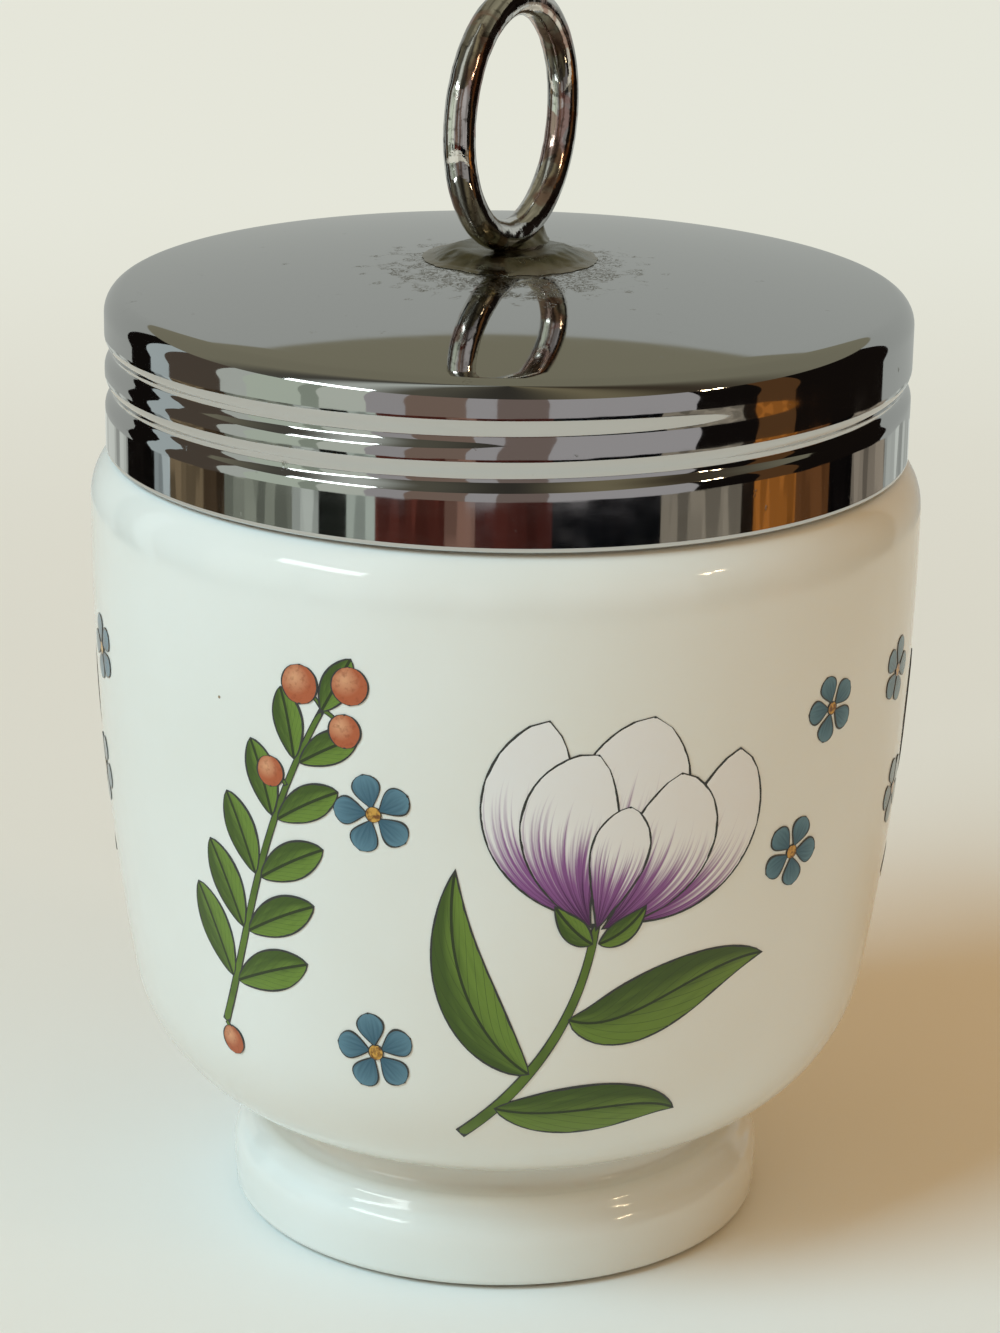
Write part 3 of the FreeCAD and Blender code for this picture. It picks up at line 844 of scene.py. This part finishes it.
def bright_plate():
    # Chromium plate on pressed and polished sheet: mirror bright, with faint wipe marks, and with fine
    # dark curls where it has lifted, close together round the pad and in patches elsewhere.
    material, add, place = new_material("Chromium plate on pressed sheet")
    flat = add("VectorMath", [place, (1.0, 1.0, 0.0)], operation="MULTIPLY")
    shifted = add("VectorMath", [flat, from_photo(WORN_CENTRE)], operation="SUBTRACT")
    radius = add("VectorMath", [shifted], operation="LENGTH")
    near_pad = add("MapRange", [(radius, "Value"), 7.0 * MM, 13.0 * MM, 1.0, 0.0])
    patches = add("TexNoise", {"Vector": place, "Scale": per_mm(12), "Detail": 2.0})
    worn = add("MapRange", [patches, 0.56, 0.72, 0.0, 0.12])
    zone = add("Math", [near_pad, worn], operation="MAXIMUM")
    curls = add("TexNoise", {"Vector": place, "Scale": per_mm(0.5), "Detail": 2.0, "Distortion": 1.0})
    off_line = add("Math", [add("Math", [curls, 0.5], operation="SUBTRACT")], operation="ABSOLUTE")
    line = add("MapRange", [off_line, 0.02, 0.08, 1.0, 0.0])
    breaks = add("TexNoise", {"Vector": place, "Scale": per_mm(1.6), "Detail": 3.0})
    kept = add("Math", [zone, 0.36, breaks], operation="MULTIPLY_ADD")
    shown = add("MapRange", [kept, 0.71, 0.81])
    pits = add("Math", [line, shown], operation="MULTIPLY")
    tint = mottled(add, pits, 0.0, 1.0, colours().plate, linear("#5f5c50"), 0.75)
    wiped = add("Mapping", {"Vector": place, "Scale": (0.15, 1.0, 1.0), "Rotation": (0.0, 0.0, 0.5)})
    wipes = add("TexNoise", {"Vector": wiped, "Scale": per_mm(1.2), "Detail": 5.0})
    haze = add("MapRange", [wipes, 0.35, 0.75, 0.03, 0.055])
    rough = add("Math", [pits, 0.3, haze], operation="MULTIPLY_ADD")
    press = add("TexNoise", {"Vector": place, "Scale": per_mm(9), "Detail": 1.0})
    waves = add("Math", [press, 0.5], operation="MULTIPLY")
    relief = add("Math", [pits, -0.35, waves], operation="MULTIPLY_ADD")
    return finished(material, add, tint, rough, (relief, 0.5, 0.02), Metallic=1.0)


def dull_plate():
    # The lid's inside took only a flash of plate over the drawn sheet: grey, streaked and satin.
    material, add, place = new_material("Thin plate inside the lid")
    streaks = add("TexNoise", {"Vector": place, "Scale": per_mm(3), "Detail": 4.0})
    tint = add("MixRGB", [streaks, linear("#a3a19b"), linear("#84807a")])
    rough = add("MapRange", [streaks, 0.3, 0.7, 0.25, 0.45])
    return finished(material, add, tint, rough, Metallic=1.0)


def tarnished_plate():
    # Plate gone from the pad after years of hot water: olive and brown tarnish with dull metal between,
    # and brighter metal left at its ragged rim.
    material, add, place = new_material("Tarnished plate on the pad")
    clouds = add("TexNoise", {"Vector": place, "Scale": per_mm(3.2), "Detail": 4.0, "Distortion": 0.6})
    grain = add("TexNoise", {"Vector": place, "Scale": per_mm(0.45), "Detail": 3.0})
    brown = mottled(add, clouds, 0.38, 0.62, colours().tarnish, linear("#78755f"))
    spotted = mottled(add, grain, 0.5, 0.75, brown, linear("#46473b"), 0.6)
    flat = add("VectorMath", [place, (1.0, 1.0, 0.0)], operation="MULTIPLY")
    radius = add("VectorMath", [flat], operation="LENGTH")
    outer = add("Math", [clouds, 3.0 * MM, (radius, "Value")], operation="MULTIPLY_ADD")
    tint = mottled(add, outer, 6.3 * MM, 8.2 * MM, spotted, linear("#a9a69c"))
    rough = add("MapRange", [clouds, 0.35, 0.65, 0.2, 0.42])
    return finished(material, add, tint, rough, (grain, 0.35, 0.05), Metallic=1.0)


def satin_plate():
    # The rivet's head was plated as it was hammered: satin, with small marks.
    material, add, place = new_material("Satin plate on the rivet")
    marks = add("TexNoise", {"Vector": place, "Scale": per_mm(0.8), "Detail": 3.0})
    tint = add("MixRGB", [marks, linear("#aaa79f"), linear("#8a857b")])
    return finished(material, add, tint, 0.3, (marks, 0.3, 0.05), Metallic=1.0)


def worn_wire():
    # Plated wire that fingers have worn: bright, with warm patches where the undercoat shows through.
    material, add, place = new_material("Worn plate on wire")
    patches = add("TexNoise", {"Vector": place, "Scale": per_mm(4.5), "Detail": 3.0, "Distortion": 0.8})
    ring_middle = (0.0, 0.0, (RING_LOW.z + RING_HIGH.z) / 2 - RING_SINK * MM)
    spoke = add("SeparateXYZ", [add("VectorMath", [place, ring_middle], operation="SUBTRACT")])
    out = add("VectorMath", [add("CombineXYZ", [0.0, (spoke, "Y"), (spoke, "Z")])], operation="LENGTH")
    round_ring = add("Math", [(spoke, "Y"), (spoke, "Z")], operation="ARCTAN2")
    # Streaks 0.5 mm wide, some 6 mm long, run along the wire; their light and dark is painted reflection
    slowed = add("Math", [round_ring, 0.7 * MM], operation="MULTIPLY")
    along = add("CombineXYZ", [(spoke, "X"), (out, "Value"), slowed])
    streaks = add("TexNoise", {"Vector": along, "Scale": per_mm(0.5), "Detail": 2.0, "Distortion": 0.3})
    # Painted reflection: bright and dark streaks in the wire's colour, as a mirror wire shows its
    # surroundings
    drawn = mottled(add, streaks, 0.42, 0.6, linear("#eceae6"), linear("#a3a09b"))
    tint = mottled(add, patches, 0.56, 0.6, drawn, linear("#b39a92"))
    marks = add("TexNoise", {"Vector": place, "Scale": per_mm(0.6), "Detail": 3.0})
    spotted = mottled(add, marks, 0.58, 0.7, tint, linear("#57534a"), 0.7)
    rough = add("MapRange", [patches, 0.4, 0.66, 0.04, 0.17])
    relief = add("Math", [marks, streaks], operation="ADD")
    return finished(material, add, spotted, rough, (relief, 0.5, 0.03), Metallic=1.0)


def braze_metal():
    # Braze that flowed from pad to wire, plated over and tarnished: grey-olive and soft in its gloss.
    material, add, place = new_material("Tarnished braze")
    clouds = add("TexNoise", {"Vector": place, "Scale": per_mm(1.8), "Detail": 3.0, "Distortion": 0.5})
    tint = mottled(add, clouds, 0.4, 0.65, colours().tarnish, linear("#8e8a7c"))
    return finished(material, add, tint, 0.3, (clouds, 0.3, 0.1), Metallic=1.0)


def fired_enamel(name, line_width, paint):
    """Fired enamel print: paint gives the colour inside an outline that wavers about its width."""
    material, add, place = new_material(name)
    wobble = add("TexNoise", {"Vector": place, "Scale": per_mm(1.5), "Detail": 2.0})
    reach = add("MapRange", [wobble, 0.3, 0.7, line_width * 0.6, line_width * 1.35])
    inked = add("Math", [(add("Attribute", attribute_name="edge"), "Fac"), reach], operation="LESS_THAN")
    inside = paint(add, place, (add("TexCoord"), "UV"))
    drawn = add("MixRGB", [inked, inside, colours().line])
    return finished(material, add, drawn, 0.1, IOR=1.4)


def petal_paint(add, place, drawn):
    # White at the petal's lip and mauve in its throat, with hairlines brushed from one into the other.
    brushed = add("Mapping", {"Vector": drawn, "Scale": (26.0, 1.1, 1.0)})
    strokes = add("TexNoise", {"Vector": brushed, "Scale": 1.0, "Detail": 2.0})
    along = (add("SeparateXYZ", [drawn]), "Y")
    depth = add("Math", [strokes, -0.9, along], operation="MULTIPLY_ADD")
    paint = colours().petal
    for start, end, deeper in ((0.22, -0.12, colours().throat), (-0.12, -0.42, linear("#4d2350"))):
        share = add("MapRange", [depth, start, end],
                    interpolation_type="SMOOTHSTEP")
        paint = add("MixRGB", [share, paint, deeper])
    return paint


def leaf_paint(add, place, drawn):
    # Olive green, darker to one side of the leaf, with a drawn rib and fainter side veins.
    brushed = add("Mapping", {"Vector": drawn, "Scale": (5.0, 2.2, 1.0)})
    shade = add("TexNoise", {"Vector": brushed, "Scale": 1.0, "Detail": 3.0})
    where = add("SeparateXYZ", [drawn])
    side = add("Math", [(where, "X"), shade], operation="ADD")
    green = mottled(add, side, 0.65, 1.3, colours().leaf_shade, colours().leaf)
    rib = add("Math", [(add("Attribute", attribute_name="mid"), "Fac"), 0.11], operation="LESS_THAN")
    aside = add("Math", [add("Math", [(where, "X"), 0.5], operation="SUBTRACT")], operation="ABSOLUTE")
    slanted = add("Math", [(where, "Y"), aside], operation="SUBTRACT")
    repeated = add("Math", [add("Math", [slanted, 7.0], operation="MULTIPLY")], operation="FRACT")
    vein = add("Math", [repeated, 0.09], operation="LESS_THAN")
    faint = add("Math", [vein, 0.45], operation="MULTIPLY")
    lines = add("Math", [rib, faint], operation="MAXIMUM")
    return add("MixRGB", [lines, green, linear("#2f3b1c")])


def stem_paint(add, place, drawn):
    # Green, lighter and darker along the stem.
    shade = add("TexNoise", {"Vector": place, "Scale": per_mm(2.5), "Detail": 2.0})
    return add("MixRGB", [shade, colours().leaf_shade, colours().leaf])


def berry_paint(add, place, drawn):
    # Terracotta, stippled, with a lighter spot to one side of the berry.
    spot = (add("VectorMath", [drawn, (0.36, 0.66, 0.0)], operation="DISTANCE"), "Value")
    body = mottled(add, spot, 0.05, 0.45, linear("#e0a077"), colours().berry)
    stipple = add("TexNoise", {"Vector": place, "Scale": per_mm(0.35), "Detail": 2.0})
    return mottled(add, stipple, 0.5, 0.75, body, linear("#8e3f22"), 0.5)


def blossom_paint(add, place, drawn):
    # Slate blue, deeper towards the flower's heart.
    brushed = add("Mapping", {"Vector": drawn, "Scale": (9.0, 1.2, 1.0)})
    strokes = add("TexNoise", {"Vector": brushed, "Scale": 1.0, "Detail": 1.0})
    depth = add("Math", [(add("SeparateXYZ", [drawn]), "Y"), strokes], operation="SUBTRACT")
    return mottled(add, depth, -0.3, 0.4, linear("#3d6173"), colours().blossom)


def heart_paint(add, place, drawn):
    # Ochre with brown stipple, in the flower's heart.
    stipple = add("TexNoise", {"Vector": place, "Scale": per_mm(0.3), "Detail": 2.0})
    return mottled(add, stipple, 0.4, 0.65, linear("#d8a24a"), linear("#7b4d22"))


# Stage

# The camera's side of the part, and where the camera stands and looks, in millimetres with -Y towards it
PHOTO_TURN = math.radians(26)
CAMERA_PLACE = (-0.24, -288.92, 136.65)
CAMERA_TARGET = (-0.24, 0.0, 43.05)
CAMERA_ROLL = 0.017
CAMERA_LENS = 141.43
MIDDLE_HEIGHT = 45
# Radius of the floor that metal mirrors, and of the whole floor, in metres
NEAR_FLOOR = 0.222
FAR_FLOOR = 3.0


def from_photo(place):
    """A place in millimetres, with -Y towards the camera, as metres in the part's own frame."""
    return Matrix.Rotation(PHOTO_TURN, 3, "Z") @ Vector(place) * MM


def towards(azimuth, elevation, distance):
    """A place so many millimetres away, at degrees right of the camera's side and above the floor."""
    side, rise = math.radians(azimuth), math.radians(elevation)
    out, up = distance * math.cos(rise), distance * math.sin(rise)
    return from_photo((out * math.sin(side), -out * math.cos(side), up + MIDDLE_HEIGHT))


def facing(place, target, roll=0.0):
    """The turn that points an object at place towards target."""
    look = (target - place).to_track_quat("-Z", "Y").to_matrix()
    return (look @ Matrix.Rotation(roll, 3, "Z")).to_euler()


def make_camera():
    place, target = from_photo(CAMERA_PLACE), from_photo(CAMERA_TARGET)
    bpy.ops.object.camera_add(location=place, rotation=facing(place, target, CAMERA_ROLL))
    camera = bpy.context.object
    camera.name = "camera"
    camera.data.sensor_fit = "HORIZONTAL"
    camera.data.sensor_width = 36
    camera.data.lens = CAMERA_LENS
    camera.data.clip_start = 0.01
    bpy.context.scene.camera = camera


def make_lamp(name, azimuth, elevation, distance, width, height, power, tint, mirrored=True):
    place = towards(azimuth, elevation, distance)
    middle = Vector((0, 0, MIDDLE_HEIGHT * MM))
    bpy.ops.object.light_add(type="AREA", location=place, rotation=facing(place, middle))
    lamp = bpy.context.object
    lamp.name = name
    lamp.data.shape = "RECTANGLE"
    lamp.data.size = width
    lamp.data.size_y = height
    lamp.data.energy = power
    lamp.data.color = linear(tint)[:3]
    lamp.visible_glossy = mirrored


def pale_floor():
    # Matt painted board, a warm white: even, with only the faintest mottle.
    material, add, place = new_material("Pale painted board")
    mottle = add("TexNoise", {"Vector": place, "Scale": per_mm(60), "Detail": 2.0})
    tint = add("MixRGB", [mottle, linear("#f4f4f0"), linear("#f0efea")])
    shader = add("BsdfPrincipled", {"Base Color": tint, "Roughness": 0.55, "Specular IOR Level": 0.2})
    # Away from the object the board fades to the pale backdrop, to the camera alone
    reach = (add("VectorMath", [place], operation="LENGTH"), "Value")
    away = add("MapRange", [reach, 0.07, 0.42, 0.0, 0.92],
               interpolation_type="SMOOTHSTEP")
    seen = add("Math", [away, (add("LightPath"), "Is Camera Ray")], operation="MULTIPLY")
    backdrop = add("Emission", {"Color": linear("#e7e8dc")})
    add("OutputMaterial", {"Surface": add("MixShader", [seen, shader, backdrop])})
    return material


def make_floor():
    board = pale_floor()
    pieces = []
    for name, fill in (("floor_near", "NGON"), ("floor_far", "NOTHING")):
        deselect_all()
        bpy.ops.mesh.primitive_circle_add(vertices=128, radius=NEAR_FLOOR, fill_type=fill, location=(0, 0, 0))
        pieces.append(name_piece(name))
    edit_all()
    bpy.ops.mesh.extrude_region_move()
    bpy.ops.transform.resize(value=(FAR_FLOOR / NEAR_FLOOR, FAR_FLOOR / NEAR_FLOOR, 1))
    bpy.ops.object.mode_set(mode="OBJECT")
    # Mirror metal shows the studio beyond the near board, and not the far board
    pieces[1].visible_glossy = False
    for piece in pieces:
        piece.data.materials.append(board)


# Colour fields of the studio, low, level and high: where each starts, as a share of a turn, and its colour
LOW_FIELDS = (
    (0.0, "#c6cac3"), (0.12, "#14110f"), (0.17, "#b9c4c4"), (0.195, "#7a6a52"), (0.235, "#4b3d2d"),
    (0.26, "#8e9385"), (0.325, "#c4cbc2"), (0.35, "#1c1f1b"), (0.375, "#b3bdb2"), (0.395, "#5f3128"),
    (0.45, "#8c6a5c"), (0.475, "#4e2620"), (0.535, "#0d0e10"), (0.62, "#8d8475"), (0.69, "#2a2119"),
    (0.7, "#a9682c"), (0.745, "#6b4527"), (0.785, "#120f0e"), (0.815, "#968b7c"), (0.875, "#c6cac3"),
)
LEVEL_FIELDS = (
    (0.0, "#adb0ab"), (0.13, "#14110f"), (0.165, "#b9c4c4"), (0.195, "#574d43"), (0.257, "#c4c9c0"),
    (0.285, "#c6d0bf"), (0.335, "#9aa394"), (0.35, "#cdd3c6"), (0.39, "#aaa6a6"), (0.42, "#867266"),
    (0.465, "#aeaaaa"), (0.49, "#7f7069"), (0.53, "#b0acac"), (0.645, "#15110f"), (0.7, "#5e4026"),
    (0.74, "#17120f"), (0.86, "#adb0ab"),
)
HIGH_FIELDS = (
    (0.0, "#87836f"), (0.2, "#87836f"), (0.3, "#54524a"), (0.36, "#c3c8c0"), (0.42, "#5f5c50"),
    (0.5, "#3d3a34"), (0.58, "#7f765d"), (0.66, "#463d31"), (0.8, "#87836f"), (1.0, "#87836f"),
)


def stepped(add, share, stops, blend="CONSTANT"):
    """Colours that follow each other along share."""
    made = add("ValToRGB", {"Fac": share})
    made.color_ramp.interpolation = blend
    stones = made.color_ramp.elements
    while len(stones) < len(stops):
        stones.new(1.0)
    for stone, (place, _) in zip(stones, stops):
        stone.position = place
    for stone, (_, tint) in zip(stones, stops):
        stone.color = linear(tint)
    return made


def make_surroundings():
    """The studio: pale behind, grey at the sides, dimmer above and darker low down."""
    world = bpy.data.worlds.new("studio")
    bpy.context.scene.world = world
    world.use_nodes = True
    world.node_tree.nodes.clear()
    add = partial(node, world.node_tree)
    way = add("SeparateXYZ", [(add("TexCoord"), "Generated")])
    rise = (way, "Z")
    bearing = add("Math", [(way, "Y"), (way, "X")], operation="ARCTAN2")
    # Share of a full turn, 0 behind the object, 0.5 at the camera, counted to the camera's right
    turned = add("Math", [bearing, math.radians(90) + PHOTO_TURN], operation="SUBTRACT")
    share = add("Math", [add("Math", [turned, 1 / FULL_TURN], operation="MULTIPLY")], operation="FRACT")
    # The low fields: boxes of differing shade over their colours, with an uneven top edge
    across = add("Math", [share, 110.0], operation="MULTIPLY")
    upwards = add("Math", [rise, 26.0], operation="MULTIPLY")
    grid = add("CombineXYZ", [across, upwards])
    boxes = add("TexVoronoi", {"Vector": grid, "Scale": 1.0, "Randomness": 0.9},
                voronoi_dimensions="2D", distance="CHEBYCHEV")
    box = add("SeparateColor", [(boxes, "Color")])
    shade = add("MapRange", [box, 0.0, 1.0, 0.5, 1.3])
    low = add("MixRGB", [1.0, stepped(add, share, LOW_FIELDS), shade], blend_type="MULTIPLY")
    ragged = add("TexNoise", {"W": share, "Scale": 30.0, "Detail": 1.0}, noise_dimensions="1D")
    aside = add("Math", [add("Math", [share, 0.5], operation="SUBTRACT")], operation="ABSOLUTE")
    level = add("MapRange", [aside, 0.0, 0.4, -0.2655, -0.245])
    uneven = add("MapRange", [ragged, 0.3, 0.7, -0.003, 0.003])
    over = add("Math", [rise, add("Math", [level, uneven], operation="ADD")], operation="GREATER_THAN")
    high = add("MapRange", [rise, 0.44, 0.447])
    upper = add("MixRGB", [high, stepped(add, share, LEVEL_FIELDS), stepped(add, share, HIGH_FIELDS, "EASE")])
    studio = add("MixRGB", [over, low, upper])
    # Metal mirrors the studio, matt surfaces take a soft light from above, and the camera sees it pale
    rays = add("LightPath")
    above = add("MapRange", [rise])
    soft = add("MixRGB", [above, linear("#15130f"), linear("#e8c392")])
    light = add("MixRGB", [(rays, "Is Glossy Ray"), soft, studio])
    seen = add("MixRGB", [(rays, "Is Camera Ray"), light, linear("#e5e4d8")])
    add("OutputWorld", {"Surface": add("Background", {"Color": seen, "Strength": 1.0})})


# Operators

class CoddlerCup(bpy.types.Operator):
    """Model the porcelain cup with its foot, neck and moulded thread"""

    bl_idname = "mesh.coddler_cup"
    bl_label = "Porcelain cup"

    def execute(self, context):
        cup = make_cup(sizes_in_mm())
        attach(cup, "cup")
        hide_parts("cup")
        return {"FINISHED"}


class CoddlerLid(bpy.types.Operator):
    """Model the pressed lid with its rolled thread"""

    bl_idname = "mesh.coddler_lid"
    bl_label = "Pressed lid"

    def execute(self, context):
        lid = make_lid(sizes_in_mm())
        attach(lid, "lid")
        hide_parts("lid_shell")
        return {"FINISHED"}


class CoddlerPad(bpy.types.Operator):
    """Model the pad that the ring stands on"""

    bl_idname = "mesh.coddler_pad"
    bl_label = "Ring pad"

    def execute(self, context):
        pad = make_pad(sizes_in_mm())
        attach(pad, "lid")
        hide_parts("ring_pad")
        return {"FINISHED"}


class CoddlerRivet(bpy.types.Operator):
    """Model the rivet through pad and lid"""

    bl_idname = "mesh.coddler_rivet"
    bl_label = "Lid rivet"

    def execute(self, context):
        rivet = make_rivet()
        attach(rivet, "lid_carrier")
        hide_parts("lid_rivet")
        return {"FINISHED"}


class CoddlerRing(bpy.types.Operator):
    """Model the lifting ring of bent wire"""

    bl_idname = "mesh.coddler_ring"
    bl_label = "Lifting ring"

    def execute(self, context):
        ring = make_ring(sizes_in_mm())
        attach(ring, "lid")
        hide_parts("lifting_ring")
        return {"FINISHED"}


class CoddlerBraze(bpy.types.Operator):
    """Model the fillet of braze at the ring's foot"""

    bl_idname = "mesh.coddler_braze"
    bl_label = "Braze fillet"

    def execute(self, context):
        braze = make_braze(sizes_in_mm())
        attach(braze, "lid")
        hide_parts("ring_braze")
        return {"FINISHED"}


class CoddlerPrint(bpy.types.Operator):
    """Model the fired print: petals, leaves, stems, berries and small flowers"""

    bl_idname = "mesh.coddler_print"
    bl_label = "Fired print"

    def execute(self, context):
        size = sizes_in_mm()
        for piece in (make_petals(size), make_leaves(size), make_stems(size), make_berries(size),
                      *make_small_flowers(size)):
            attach(piece, "cup")
        return {"FINISHED"}


class CoddlerStage(bpy.types.Operator):
    """Set up the camera, the pale floor, the studio light and the surroundings"""

    bl_idname = "scene.coddler_stage"
    bl_label = "Stage"

    def execute(self, context):
        deselect_all()
        make_camera()
        make_lamp("sky_light", -54, 45, 3000, 1.5, 1.2, 62.0, "#b2e6ff", mirrored=False)
        make_lamp("window_light", -54, 30, 3000, 1.3, 0.35, 10.0, "#f4ffff")
        make_lamp("warm_lamp_left", 58, 26, 1200, 0.05, 0.045, 0.3, "#ffe2b8")
        make_lamp("warm_lamp_right", 62.5, 27, 1200, 0.05, 0.045, 0.3, "#ffe2b8")
        make_floor()
        make_surroundings()
        context.scene.view_settings.view_transform = "Standard"
        return {"FINISHED"}


OPERATORS = (CoddlerCup, CoddlerLid, CoddlerPad, CoddlerRivet, CoddlerRing, CoddlerBraze, CoddlerPrint,
             CoddlerStage)


class CoddlerPanel(bpy.types.Panel):
    """Operators, sizes and colours of the egg coddler"""

    bl_idname = "VIEW3D_PT_coddler"
    bl_label = "Egg coddler"
    bl_space_type = "VIEW_3D"
    bl_region_type = "UI"
    bl_category = "Egg coddler"

    def draw(self, context):
        for operator in OPERATORS:
            self.layout.operator(operator.bl_idname)
        for group, kind in ((context.scene.coddler_sizes, CoddlerSizes),
                            (context.scene.coddler_colours, CoddlerColours)):
            column = self.layout.column()
            for key in kind.__annotations__:
                column.prop(group, key)


CLASSES = (CoddlerSizes, CoddlerColours, *OPERATORS, CoddlerPanel)


def register():
    for cls in CLASSES:
        bpy.utils.register_class(cls)
    bpy.types.Scene.coddler_sizes = PointerProperty(type=CoddlerSizes)
    bpy.types.Scene.coddler_colours = PointerProperty(type=CoddlerColours)


def unregister():
    del bpy.types.Scene.coddler_colours
    del bpy.types.Scene.coddler_sizes
    for cls in reversed(CLASSES):
        bpy.utils.unregister_class(cls)


def main():
    register()
    bpy.ops.mesh.coddler_cup()
    bpy.ops.mesh.coddler_lid()
    bpy.ops.mesh.coddler_pad()
    bpy.ops.mesh.coddler_rivet()
    bpy.ops.mesh.coddler_ring()
    bpy.ops.mesh.coddler_braze()
    bpy.ops.mesh.coddler_print()
    bpy.ops.scene.coddler_stage()


if __name__ == "__main__":
    main()
